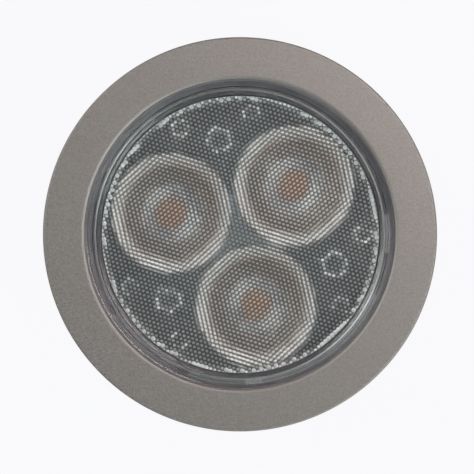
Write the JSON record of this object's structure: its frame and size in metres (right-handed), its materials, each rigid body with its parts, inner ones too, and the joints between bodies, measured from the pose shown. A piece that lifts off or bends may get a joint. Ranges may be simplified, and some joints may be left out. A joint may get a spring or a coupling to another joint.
{
  "type": "ground spotlight",
  "caption": "Round recessed ground spotlight: satin steel trim ring, bevelled glass and clear multi-cell microlens optic, on a finned lamp body in a barbed mounting sleeve.",
  "frame": {"origin": "centre of the plane that the trim flange rests on, which is the finished ground level; also the top end of the mounting sleeve's outside cylinder", "axes": "+Z out of the lit face, upwards; +X is to the right of the picture, +Y to its top"},
  "size_m": [0.06, 0.06, 0.083],
  "materials": {
    "satin_stainless": "bead blasted, satin",
    "window_glass": "polished, clear",
    "seal_rubber": "smooth moulded silicone, dark grey",
    "clear_acrylic": "moulded clear acrylic, microlens front",
    "black_polycarbonate": "fine moulded texture",
    "black_board": "dark solder mask on metal core",
    "white_ceramic": "fired alumina",
    "phosphor": "matt phosphor",
    "clear_silicone": "clear silicone dome",
    "thermal_silicone": "soft filled silicone",
    "anodised_aluminium": "dark anodised, turned",
    "stainless_fastener": "bright turned",
    "spring_steel": "rolled strip",
    "nickel_brass": "nickel plated",
    "green_board": "solder mask on glass laminate",
    "ferrite": "sintered ferrite",
    "copper_winding": "enamelled copper wire",
    "capacitor_can": "sleeved can with bare top",
    "black_epoxy": "moulded epoxy package, tinned leads",
    "terminal_plastic": "moulded green polyamide",
    "brown_insulation": "silicone insulation",
    "black_insulation": "silicone insulation",
    "solder": "bright solder",
    "sleeve_plastic": "moulded polypropylene"
  },
  "bodies": {
    "sleeve": {"mounting_sleeve": "sleeve_plastic"},
    "lamp": {"glass_seal": "seal_rubber", "lens_array": "clear_acrylic", "lens_holder": "black_polycarbonate", "led_board": "black_board", "led_packages": "white_ceramic", "led_phosphors": "phosphor", "led_domes": "clear_silicone", "board_screws": "stainless_fastener", "thermal_pad": "thermal_silicone", "lamp_body": "anodised_aluminium", "neck_o_ring": "seal_rubber", "driver_board": "green_board", "driver_standoffs": "nickel_brass", "driver_screws": "stainless_fastener", "inductor_core": "ferrite", "inductor_winding": "copper_winding", "smoothing_capacitor": "capacitor_can", "rectifier": "black_epoxy", "driver_chip": "black_epoxy", "chip_resistors": "black_epoxy", "supply_terminal": "terminal_plastic", "terminal_screws": "stainless_fastener", "lead_positive": "brown_insulation", "lead_negative": "black_insulation", "solder_joints": "solder", "rear_cap": "anodised_aluminium", "rear_cap_o_ring": "seal_rubber", "rear_cap_screws": "stainless_fastener", "gland_body": "nickel_brass", "gland_o_ring": "seal_rubber", "gland_insert": "seal_rubber", "gland_nut": "nickel_brass", "spring_feet": "spring_steel", "spring_screws": "stainless_fastener"},
    "window": {"glass_window": "window_glass", "edge_gasket": "seal_rubber"},
    "bezel": {"trim_ring": "satin_stainless"},
    "leaf_1": {"retaining_spring_1": "spring_steel"},
    "leaf_2": {"retaining_spring_2": "spring_steel"},
    "leaf_3": {"retaining_spring_3": "spring_steel"}
  },
  "joints": [
    {"name": "lamp_lift", "type": "slide", "parent": "sleeve", "child": "lamp", "axis": [0, 0, 1], "range_m": [0, 0.08]},
    {"name": "window_rise", "type": "slide", "parent": "lamp", "child": "window", "axis": [0, 0, 1], "range_m": [0, 0.0055]},
    {"name": "bezel_turn", "type": "hinge", "parent": "window", "child": "bezel", "pos_m": [0, 0, 0], "axis": [0, 0, 1], "range_deg": [0, 1320]},
    {"name": "leaf_1_flex", "type": "hinge", "parent": "lamp", "child": "leaf_1", "pos_m": [0, 0.0236, -0.0366], "axis": [1, 0, 0], "range_deg": [0, 4], "stiffness_Nm_per_rad": 0.3},
    {"name": "leaf_2_flex", "type": "hinge", "parent": "lamp", "child": "leaf_2", "pos_m": [-0.02044, -0.0118, -0.0366], "axis": [-0.5, 0.866, 0], "range_deg": [0, 4], "stiffness_Nm_per_rad": 0.3},
    {"name": "leaf_3_flex", "type": "hinge", "parent": "lamp", "child": "leaf_3", "pos_m": [0.02044, -0.0118, -0.0366], "axis": [-0.5, -0.866, 0], "range_deg": [0, 4], "stiffness_Nm_per_rad": 0.3}
  ],
  "couplings": [
    {"joint": "bezel_turn", "follows": "window_rise", "rad_per_m": 4188.8}
  ]
}
